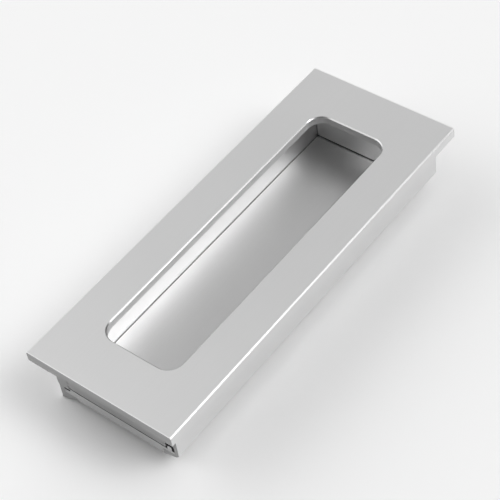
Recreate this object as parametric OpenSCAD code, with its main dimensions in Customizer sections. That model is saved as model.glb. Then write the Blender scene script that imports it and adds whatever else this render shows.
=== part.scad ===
// Recessed pull handle for a sliding door or a drawer front, in satin aluminium.
// An extruded front profile carries the face plate and two side walls. A floor plate hooks
// into the grooves of the walls, and a block closes the recess at each end.
// X runs along the handle, Y across it and Z out of the face. The part lies on its back:
// the origin is under the middle of the face plate, on the level of the lowest foot.

/* [Face plate] */
// Length of the face plate
plate_l = 108.4; // [102:0.1:200]
// Width of the face plate
plate_w = 42; // [36:0.1:80]
// Thickness of the flanges outside the side walls
flange_t = 2.9; // [2.5:0.1:5]
// Thickness of the face around the hand opening
web_t = 2.15; // [1.4:0.05:2.4]
// How far the thicker flange carries on inside the side walls
web_shoulder = 1.9; // [1:0.1:2.2]
// Bevel along the long front edges
front_bevel = 0.3; // [0.1:0.05:0.8]
// Bevel along the long back edges of the flanges
back_bevel = 0.15; // [0.1:0.05:1]

/* [Window] */
// Length of the hand opening
window_l = 82.4; // [60:0.1:86]
// Width of the hand opening
window_w = 21.3; // [16:0.1:22.4]
// Corner radius of the hand opening
window_r = 4; // [2:0.1:7]
// Bevel around the front of the hand opening
rim_bevel = 0.25; // [0.1:0.05:0.6]

/* [Body behind the plate] */
// Flange that overhangs each side wall
side_overhang = 3.1; // [2:0.1:4]
// Plate that overhangs each end of the body
end_overhang = 3.55; // [2:0.05:6]
// Thickness of the side walls
wall_t = 3.4; // [2.6:0.1:4]
// Depth from the face to the floor of the recess
recess_depth = 13; // [8:0.1:24]
// Length of each end block
end_block_l = 5.65; // [3:0.05:8]

/* [Floor plate] */
// Thickness of the floor plate
floor_t = 2.85; // [2.6:0.05:5]
// Thickness of the tongue that lies on the foot of the left wall
tongue_t = 1.2; // [0.8:0.05:1.4]
// Step down from the floor to the top of that tongue
tongue_step = 1; // [0.5:0.05:1.2]
// Thickness of the neck that passes over the lip of the right wall
neck_t = 0.85; // [0.6:0.05:1.5]
// Height of the snap rib above the floor, inside the right wall
rib_h = 1.3; // [0.6:0.05:1.6]

/* [Grooves and feet] */
// How far the groove goes into the left wall
left_groove = 1.7; // [1:0.1:2.2]
// How far the groove goes into the right wall
right_groove = 2.3; // [1.6:0.1:2.5]
// Height of the foot under the left groove
foot_h = 3.05; // [2:0.05:5]
// Length of the left lip, from the inner face of its wall
left_lip = 2; // [1.2:0.1:3]
// Length of the right lip, from the inner face of its wall
right_lip = 1.2; // [0.6:0.1:2]

/* [Clearances] */
// Seam between the walls and what stands between them
seam = 0.1; // [0.05:0.05:0.3]
// Slit under each end block
slit = 0.3; // [0.1:0.05:0.8]
// Gap above the tongue in the left groove
tongue_gap = 0.45; // [0.2:0.05:0.8]
// Gap above the snap rib in the right groove
rib_clearance = 0.75; // [0.2:0.05:1]

/* [Hidden] */
$fn = 96;

fit = 0.05;             // play of the floor plate where it bears
cut = 1;                // how far a cutter runs past what it cuts
foot_land = 0.25;       // flat at the tip of the left foot
lip_tip_t = 0.35;       // thickness of the left lip at its inner edge
lip_root = 0.7;         // metal under the right groove, at its inner corner
corner_rise = 0.85;     // height of the slope at the outer corner of the right wall
corner_in = 0.9;        // width of that slope
foot_relief = 0.25;     // hollow in the outside of the left foot, which bites into the cut-out
seat_relief = 0.1;      // rise of the face inside the side walls, so that only the flanges bear
web_slope = 1.2;        // width of the slope between the thick and the thin part of the face
lip_fall = 1.2;         // how far the underside of the right lip falls towards the middle
root_break = 0.4;       // filling in the corner between a flange and its wall
floor_corner = 0.3;     // bevel along the lower edges of the floor plate
rib_gap = 0.7;          // gap beside the snap rib
rib_w = 1.3;            // width of the snap rib
rib_lead = 0.4;         // bevel along the top of the rib, which leads it into the groove
block_break = 0.3;      // broken edges of the end blocks

// Heights, from the tip of the left foot upwards
left_lip_z = foot_h;
tongue_bottom = left_lip_z + fit;
tongue_top = tongue_bottom + tongue_t;
floor_z = tongue_top + tongue_step;
face_z = floor_z + recess_depth;
flange_z = face_z - flange_t;
shoulder_z = flange_z + seat_relief;
web_z = face_z - web_t;
floor_bottom = floor_z - floor_t;
neck_bottom = floor_z - neck_t;
right_lip_z = neck_bottom - fit;
right_lip_bottom = right_lip_z - lip_root;
rib_top = floor_z + rib_h;
left_groove_top = tongue_top + tongue_gap;
right_groove_top = rib_top + rib_clearance;
block_z = floor_z + slit;

// Widths, from the middle plane outwards
outer_y = plate_w / 2 - side_overhang;
inner_y = outer_y - wall_t;
left_groove_y = inner_y + left_groove;
right_groove_y = inner_y + right_groove;
left_lip_y = inner_y - left_lip;
right_lip_y = inner_y - right_lip;
shoulder_y = inner_y - web_shoulder;

body_l = plate_l - 2 * end_overhang;

// Draws a section in the YZ plane as a bar of length l, middle at X = 0
module bar(l) {
    translate([-l / 2, 0, 0])
        rotate([90, 0, 90])
            linear_extrude(l)
                children();
}

// Section of the extruded profile: the face on top, the left wall with its foot at plus Y,
// the right wall with a deeper groove at minus Y
module profile_section() {
    half = plate_w / 2;
    polygon([
        [half - front_bevel, face_z],
        [-half + front_bevel, face_z],
        [-half, face_z - front_bevel],
        [-half, flange_z + back_bevel],
        [-half + back_bevel, flange_z],
        [-outer_y - root_break, flange_z],
        [-outer_y, flange_z - root_break],
        [-outer_y, right_lip_bottom + corner_rise],
        [-outer_y + corner_in, right_lip_bottom],
        [-right_lip_y, right_lip_bottom - lip_fall],
        [-right_lip_y, right_lip_z],
        [-right_groove_y, right_lip_z],
        [-right_groove_y, right_groove_top],
        [-inner_y, right_groove_top],
        [-inner_y, shoulder_z],
        [-shoulder_y, shoulder_z],
        [-shoulder_y + web_slope, web_z],
        [shoulder_y - web_slope, web_z],
        [shoulder_y, shoulder_z],
        [inner_y, shoulder_z],
        [inner_y, left_groove_top],
        [left_groove_y, left_groove_top],
        [left_groove_y, left_lip_z],
        [left_lip_y, left_lip_z],
        [left_lip_y, left_lip_z - lip_tip_t],
        [outer_y - foot_land, 0],
        [outer_y, 0],
        [outer_y - foot_relief, foot_h / 3],
        [outer_y - foot_relief, left_groove_top],
        [outer_y, left_groove_top + 4 * foot_relief],
        [outer_y, flange_z - root_break],
        [outer_y + root_break, flange_z],
        [half - back_bevel, flange_z],
        [half, flange_z + back_bevel],
        [half, face_z - front_bevel]
    ]);
}

// Cutter of the hand opening, a rounded slot through the face
module window_cut() {
    x = window_l / 2 - window_r;
    y = window_w / 2 - window_r;
    translate([0, 0, web_z - cut])
        linear_extrude(web_t + 2 * cut) {
            square([window_l, 2 * y], center = true);
            square([2 * x, window_w], center = true);
            for (sx = [-1, 1], sy = [-1, 1])
                translate([sx * x, sy * y])
                    circle(window_r);
        }
}

// Section of one bar of the bevel cutter: half is half of the opening across the bar
module rim_section(half) {
    polygon([
        [-half, -rim_bevel],
        [half, -rim_bevel],
        [half + 2 * rim_bevel, rim_bevel],
        [-half - 2 * rim_bevel, rim_bevel]
    ]);
}

// Cutter of the bevel around the hand opening
module rim_cut() {
    x = window_l / 2 - window_r;
    y = window_w / 2 - window_r;
    translate([0, 0, face_z]) {
        bar(2 * x)
            rim_section(window_w / 2);
        rotate([0, 0, 90])
            bar(2 * y)
                rim_section(window_l / 2);
        for (sx = [-1, 1], sy = [-1, 1])
            translate([sx * x, sy * y, -rim_bevel])
                cylinder(h = 2 * rim_bevel, r1 = window_r, r2 = window_r + 2 * rim_bevel);
    }
}

// Extruded profile: the walls are milled back at both ends so that the plate overhangs them
module front_profile() {
    color("silver")
        difference() {
            bar(plate_l)
                profile_section();
            for (side = [-1, 1])
                translate([side * (body_l + end_overhang + cut) / 2, 0, flange_z / 2 - cut / 2])
                    cube([end_overhang + cut, plate_w, flange_z + cut], center = true);
            window_cut();
            rim_cut();
        }
}

// Floor plate: a tongue on the left, a neck with an upright snap rib on the right
module floor_plate() {
    tongue_y = left_groove_y - 2 * fit;
    left_y = left_lip_y - 2 * fit;
    right_y = -(right_lip_y - 2 * fit);
    neck_y = -(right_groove_y - fit);
    rib_outer = -(right_groove_y - rib_gap);
    rib_inner = rib_outer + rib_w;
    color("gainsboro")
        bar(body_l)
            polygon([
                [tongue_y, tongue_bottom],
                [tongue_y, tongue_top],
                [inner_y - seam, tongue_top],
                [inner_y - seam, floor_z],
                [rib_inner, floor_z],
                [rib_inner, rib_top - rib_lead],
                [rib_inner - rib_lead, rib_top],
                [rib_outer, rib_top],
                [rib_outer, floor_z],
                [neck_y, floor_z],
                [neck_y, neck_bottom],
                [right_y, neck_bottom],
                [right_y, floor_bottom + floor_corner],
                [right_y + floor_corner, floor_bottom],
                [left_y - floor_corner, floor_bottom],
                [left_y, floor_bottom + floor_corner],
                [left_y, tongue_bottom]
            ]);
}

// Block that closes one end, between the walls, the face and the floor
module end_block() {
    w = 2 * (inner_y - seam);
    h = web_z - block_z;
    step = web_z - shoulder_z;
    slope = inner_y - shoulder_y + web_slope - seam;
    translate([body_l / 2 - end_block_l, -w / 2, block_z])
        rotate([90, 0, 90])
            linear_extrude(end_block_l)
                polygon([
                    [block_break, 0],
                    [w - block_break, 0],
                    [w, block_break],
                    [w, h - step],
                    [w - slope + web_slope, h - step],
                    [w - slope, h],
                    [slope, h],
                    [slope - web_slope, h - step],
                    [0, h - step],
                    [0, block_break]
                ]);
}

module near_end_block() {
    color("lightgray")
        mirror([1, 0, 0])
            end_block();
}

module far_end_block() {
    color("lightgray")
        end_block();
}

front_profile();
floor_plate();
near_end_block();
far_end_block();
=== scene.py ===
import math

import bpy
from mathutils import Matrix, Vector


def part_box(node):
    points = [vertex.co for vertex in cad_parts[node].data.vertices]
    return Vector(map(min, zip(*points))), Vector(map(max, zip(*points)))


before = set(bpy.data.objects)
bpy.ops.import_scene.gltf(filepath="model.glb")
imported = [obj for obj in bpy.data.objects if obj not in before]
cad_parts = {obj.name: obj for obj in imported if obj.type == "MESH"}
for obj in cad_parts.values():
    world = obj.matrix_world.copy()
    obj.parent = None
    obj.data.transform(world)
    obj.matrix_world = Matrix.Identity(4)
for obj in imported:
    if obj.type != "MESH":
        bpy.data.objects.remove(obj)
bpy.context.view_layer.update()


# Camera, fitted to the plate's corners in the photograph

CAMERA_AT = Vector((-0.1762, -0.1729, 0.2893))
CAMERA_RIGHT = Vector((0.60856, -0.78646, -0.10555))
CAMERA_UP = Vector((0.63563, 0.4035, 0.65814))
CAMERA_FORWARD = Vector((0.47503, 0.46765, -0.74547))
SENSOR_MM = 36.0
FOCAL_PX = 1583.0
IMAGE_PX = 500.0
NEAREST = 0.01
FARTHEST = 20.0

camera_data = bpy.data.cameras.new("camera")
camera_data.sensor_width = SENSOR_MM
camera_data.lens = SENSOR_MM * FOCAL_PX / IMAGE_PX
camera_data.clip_start = NEAREST
camera_data.clip_end = FARTHEST
camera = bpy.data.objects.new("camera", camera_data)
bpy.context.scene.collection.objects.link(camera)
turn = Matrix((CAMERA_RIGHT, CAMERA_UP, -CAMERA_FORWARD)).transposed().to_quaternion()
camera.matrix_world = Matrix.Translation(CAMERA_AT) @ turn.to_matrix().to_4x4()
bpy.context.scene.camera = camera


# Node helpers

# Nearly all of a noise lies between these
NOISE_LOW = 0.2
NOISE_HIGH = 0.8


class Tree:
    """A node tree, with short ways to add a node and to join two of them."""

    def __init__(self, owner):
        owner.use_nodes = True
        self.tree = owner.node_tree
        self.tree.nodes.clear()

    def add(self, kind, inputs=None, **settings):
        """Adds a node. An input is a socket to join or a value to set."""
        node = self.tree.nodes.new(kind)
        for name, value in settings.items():
            setattr(node, name, value)
        for key, value in (inputs or {}).items():
            if isinstance(value, bpy.types.NodeSocket):
                self.tree.links.new(value, node.inputs[key])
            else:
                node.inputs[key].default_value = value
        return node

    def math(self, operation, a, b=0.0):
        return self.add("ShaderNodeMath", {0: a, 1: b}, operation=operation).outputs[0]

    def plus(self, a, b):
        return self.math("ADD", a, b)

    def times(self, a, b):
        return self.math("MULTIPLY", a, b)

    def size_of(self, value):
        return self.math("ABSOLUTE", value)

    def over(self, value, limit):
        """1 where value is over limit, else 0."""
        return self.math("GREATER_THAN", value, limit)

    def under(self, value, limit):
        """1 where value is under limit, else 0."""
        return self.math("LESS_THAN", value, limit)

    def all_of(self, *tests):
        result = tests[0]
        for test in tests[1:]:
            result = self.times(result, test)
        return result

    def mix(self, factor, a, b):
        return self.add("ShaderNodeMix", {0: factor, 2: a, 3: b}, data_type="FLOAT").outputs[0]

    def span(self, value, low, high, to_low, to_high):
        ins = {"Value": value, "From Min": low, "From Max": high, "To Min": to_low, "To Max": to_high}
        return self.add("ShaderNodeMapRange", ins).outputs[0]

    def sway(self, noise, amount):
        """Noise brought to a swing of plus or minus amount."""
        return self.span(noise, NOISE_LOW, NOISE_HIGH, -amount, amount)

    def noise(self, vector, scale, detail, rough):
        ins = {"Vector": vector, "Scale": scale, "Detail": detail, "Roughness": rough}
        return self.add("ShaderNodeTexNoise", ins).outputs[0]

    def streaks(self, vector, scale, rough):
        """Noise stretched to lines, by its scale along X, Y and Z."""
        stretched = self.add("ShaderNodeMapping", {"Vector": vector, "Scale": scale}).outputs[0]
        return self.noise(stretched, scale=1.0, detail=3.0, rough=rough)


# Satin anodised aluminium. The profile is drawn along X, so its faces carry fine lines along X
# that spread a reflection across them. The ends are sawn and the window is milled and deburred.
# The top end edges carry a painted highlight, and the seams, slits and grooves a painted shade.

DRAWN_TONE = 0.8
DRAWN_ROUGH = 0.43
LINE_SPREAD = 0.62
SAWN_TONE = 0.36
# The floor plate's sawn ends are lighter: painted light that offsets the floor's shadow mirrored in them
FLOOR_SAWN_TONE_WITH_PAINTED_LIGHT = 0.52
SAWN_ROUGH = 0.46
MILLED_TONE = 0.72
MILLED_ROUGH = 0.62
DEBURRED_TONE = 0.63
DEBURRED_ROUGH = 0.28
# Painted highlight: a lighter tone along the top end edges, standing in for light those edges catch
PAINTED_EDGE_HIGHLIGHT_TONE = 0.95
# Painted shade: a dark tone in the seams, slits and grooves, where shade falls between the pieces
PAINTED_SHADE_TONE = 0.25

# How far the tone and the roughness swing with the lines, the grain and the clouds
LINE_SWAY = 0.012
SAW_MARK_SWAY = 0.05
GRAIN_SWAY = 0.012
CLOUD_SWAY = 0.012
GRAIN_ROUGH_SWAY = 0.02

# Heights of the bumps, in metres
LINE_DEPTH = 0.0000006
SAW_MARK_DEPTH = 0.0000024
GRAIN_DEPTH = 0.00000036

# Noise per metre
LINE_SCALE = (40.0, 9000.0, 9000.0)
SAW_MARK_SCALE = (200.0, 90.0, 7000.0)
GRAIN_SCALE = 16000.0
CLOUD_SCALE = 45.0

# Where those finishes, the painted highlight and the painted shade are, in metres
SAWN_FROM_X = 0.0495
EDGE_HIGHLIGHT_FROM_X = 0.05402
EDGE_HIGHLIGHT_DEPTH = 0.00015
WINDOW_HALF_X = 0.0417
WINDOW_HALF_Y = 0.0112
WINDOW_DEPTH = 0.0023
SEAM_FROM_Y = 0.01426
SLIT_FROM_X = 0.0451
GROOVE_FROM_Y = 0.0146
GROOVE_TO_Y = 0.0172
GROOVE_FROM_Z = 0.0038
GROOVE_TO_Z = 0.0074

# Parts of a face's direction along an axis: nearly all of it, and little of it
SQUARE_ON = 0.9
UPRIGHT = 0.35


def satin(name, face=None, painted_shade=False, sawn_tone=SAWN_TONE):
    """The metal of a node. face is the height of its face plate, where it has one. With painted shade
    asked for, its seams and slits are darkened with painted shade. sawn_tone is the tone of its sawn ends."""
    material = bpy.data.materials.new(name)
    t = Tree(material)
    place = t.add("ShaderNodeTexCoord").outputs["Object"]
    at = t.add("ShaderNodeSeparateXYZ", {0: place})
    height = at.outputs["Z"]
    out_x = t.size_of(at.outputs["X"])
    out_y = t.size_of(at.outputs["Y"])
    normal = t.add("ShaderNodeNewGeometry").outputs["True Normal"]
    facing = t.add("ShaderNodeSeparateXYZ", {0: normal})
    along_x = t.size_of(facing.outputs["X"])
    along_z = t.size_of(facing.outputs["Z"])
    outside = t.over(out_x, SAWN_FROM_X)
    sawn = t.all_of(outside, t.over(along_x, SQUARE_ON))

    drawn_lines = t.streaks(place, LINE_SCALE, rough=0.6)
    saw_marks = t.streaks(place, SAW_MARK_SCALE, rough=0.65)
    lines = t.mix(sawn, drawn_lines, saw_marks)
    grain = t.noise(place, GRAIN_SCALE, detail=2.0, rough=0.6)
    cloud = t.noise(place, CLOUD_SCALE, detail=3.0, rough=0.5)

    tone = t.mix(sawn, DRAWN_TONE, sawn_tone)
    rough = t.mix(sawn, DRAWN_ROUGH, SAWN_ROUGH)
    if face is not None:
        milled = t.all_of(
            t.over(height, face - WINDOW_DEPTH),
            t.under(along_z, SQUARE_ON),
            t.under(out_x, WINDOW_HALF_X),
            t.under(out_y, WINDOW_HALF_Y),
        )
        upright = t.under(along_z, UPRIGHT)
        # Painted highlight along the top end edges
        painted_highlight = t.all_of(t.over(height, face - EDGE_HIGHLIGHT_DEPTH), t.over(out_x, EDGE_HIGHLIGHT_FROM_X))
        # Painted shade in the grooves
        in_groove = t.all_of(
            t.over(out_y, GROOVE_FROM_Y),
            t.under(out_y, GROOVE_TO_Y),
            t.over(height, GROOVE_FROM_Z),
            t.under(height, GROOVE_TO_Z),
            t.under(along_x, SQUARE_ON),
        )
        tone = t.mix(milled, tone, t.mix(upright, DEBURRED_TONE, MILLED_TONE))
        # Lighter tone on the top end edges: a painted highlight
        tone = t.mix(painted_highlight, tone, PAINTED_EDGE_HIGHLIGHT_TONE)
        # Dark tone in the grooves: painted shade
        tone = t.mix(in_groove, tone, PAINTED_SHADE_TONE)
        rough = t.mix(milled, rough, t.mix(upright, DEBURRED_ROUGH, MILLED_ROUGH))
    # Painted shade in the seams and slits between the pieces
    if painted_shade:
        seam = t.all_of(t.under(out_x, SAWN_FROM_X), t.over(out_y, SEAM_FROM_Y))
        slit = t.all_of(t.over(along_z, SQUARE_ON), t.over(out_x, SLIT_FROM_X))
        tone = t.mix(t.math("MAXIMUM", seam, slit), tone, PAINTED_SHADE_TONE)
    tone = t.plus(tone, t.times(t.sway(lines, 1.0), t.mix(sawn, LINE_SWAY, SAW_MARK_SWAY)))
    tone = t.plus(tone, t.sway(grain, GRAIN_SWAY))
    tone = t.plus(tone, t.sway(cloud, CLOUD_SWAY))
    rough = t.plus(rough, t.sway(grain, GRAIN_ROUGH_SWAY))
    colour = t.add("ShaderNodeCombineColor", {0: tone, 1: tone, 2: tone}).outputs[0]

    line_bumps = t.times(lines, t.mix(sawn, LINE_DEPTH, SAW_MARK_DEPTH))
    bumps = t.plus(line_bumps, t.times(grain, GRAIN_DEPTH))
    bump = t.add("ShaderNodeBump", {"Height": bumps, "Strength": 1.0, "Distance": 1.0})
    around = t.add("ShaderNodeTangent", direction_type="RADIAL", axis="X").outputs[0]
    upwards = (0.0, 0.0, 1.0)
    across = t.add("ShaderNodeMix", {0: sawn, 4: around, 5: upwards}, data_type="VECTOR").outputs[1]
    surface = t.add(
        "ShaderNodeBsdfPrincipled",
        {
            "Base Color": colour,
            "Metallic": 1.0,
            "Roughness": rough,
            "Anisotropic": LINE_SPREAD,
            "Tangent": across,
            "Normal": bump.outputs[0],
        },
    )
    t.add("ShaderNodeOutputMaterial", {0: surface.outputs[0]})
    return material


def dress(node, material):
    """Puts the material in the slots that a CAD node comes with."""
    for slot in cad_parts[node].material_slots:
        slot.material = material


face_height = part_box("front_profile")[1][2]
dress("front_profile", satin("profile_satin", face=face_height))
# The floor plate and the end blocks get painted shade in their seams and slits
dress("floor_plate", satin("floor_satin", painted_shade=True, sawn_tone=FLOOR_SAWN_TONE_WITH_PAINTED_LIGHT))
block_satin = satin("block_satin", painted_shade=True)
dress("near_end_block", block_satin)
dress("far_end_block", block_satin)


# Light: a studio room with soft lights, which every ray sees alike, and a plain pale floor.
# The floor is clear from below, so that the underside can be looked at.

WHITE = (1.0, 1.0, 1.0, 1.0)
ROOM_LEVEL = 0.08
FLOOR_TONE = 0.95
FLOOR_HALF = 4.0
FLOOR_DROP = 0.0002


def soft_light(t, ray, azimuth, elevation, spread, strength):
    """Light from one direction, in degrees; at the angle spread it has fallen to about a third."""
    a = math.radians(azimuth)
    e = math.radians(elevation)
    way = (math.cos(e) * math.cos(a), math.cos(e) * math.sin(a), math.sin(e))
    cosine = t.add("ShaderNodeVectorMath", {0: ray, 1: way}, operation="DOT_PRODUCT").outputs["Value"]
    sharpness = 1.0 / (1.0 - math.cos(math.radians(spread)))
    fall = t.times(t.math("SUBTRACT", cosine, 1.0), sharpness)
    return t.times(t.math("EXPONENT", fall), strength)


def light_the_room():
    world = bpy.data.worlds.new("room")
    bpy.context.scene.world = world
    t = Tree(world)
    ray = t.add("ShaderNodeTexCoord").outputs["Generated"]
    key = soft_light(t, ray, azimuth=-69.0, elevation=46.0, spread=14.0, strength=7.0)
    key_high = soft_light(t, ray, azimuth=-82.0, elevation=64.0, spread=20.0, strength=1.1)
    fill = soft_light(t, ray, azimuth=-36.0, elevation=54.0, spread=22.0, strength=0.85)
    back_left = soft_light(t, ray, azimuth=93.0, elevation=26.0, spread=22.0, strength=2.0)
    left = soft_light(t, ray, azimuth=125.0, elevation=36.0, spread=22.0, strength=1.4)
    near_left = soft_light(t, ray, azimuth=148.0, elevation=28.0, spread=18.0, strength=0.7)
    back_high = soft_light(t, ray, azimuth=105.0, elevation=52.0, spread=20.0, strength=0.3)
    far_low = soft_light(t, ray, azimuth=28.0, elevation=9.0, spread=22.0, strength=1.85)
    far_left = soft_light(t, ray, azimuth=73.0, elevation=46.0, spread=20.0, strength=0.36)
    far_high = soft_light(t, ray, azimuth=40.0, elevation=34.0, spread=22.0, strength=0.18)
    level = ROOM_LEVEL
    for light in (key, key_high, fill, back_left, left, near_left, back_high, far_low, far_left, far_high):
        level = t.plus(light, level)
    surface = t.add("ShaderNodeBackground", {"Color": WHITE, "Strength": level})
    t.add("ShaderNodeOutputWorld", {0: surface.outputs[0]})


def lay_the_floor():
    h = FLOOR_HALF
    z = -FLOOR_DROP
    mesh = bpy.data.meshes.new("studio_floor")
    mesh.from_pydata([(-h, -h, z), (h, -h, z), (h, h, z), (-h, h, z)], [], [(0, 1, 2, 3)])
    floor = bpy.data.objects.new("studio_floor", mesh)
    bpy.context.scene.collection.objects.link(floor)
    material = bpy.data.materials.new("studio_floor")
    t = Tree(material)
    pale = t.add("ShaderNodeBsdfDiffuse", {"Color": (FLOOR_TONE, FLOOR_TONE, FLOOR_TONE, 1.0)})
    clear = t.add("ShaderNodeBsdfTransparent")
    from_below = t.add("ShaderNodeNewGeometry").outputs["Backfacing"]
    surface = t.add("ShaderNodeMixShader", {0: from_below, 1: pale.outputs[0], 2: clear.outputs[0]})
    t.add("ShaderNodeOutputMaterial", {0: surface.outputs[0]})
    mesh.materials.append(material)


light_the_room()
lay_the_floor()

# In the recess light bounces between metal faces many times
GLOSSY_BOUNCES = 8

scene = bpy.context.scene
scene.view_settings.view_transform = "Standard"
scene.cycles.glossy_bounces = GLOSSY_BOUNCES
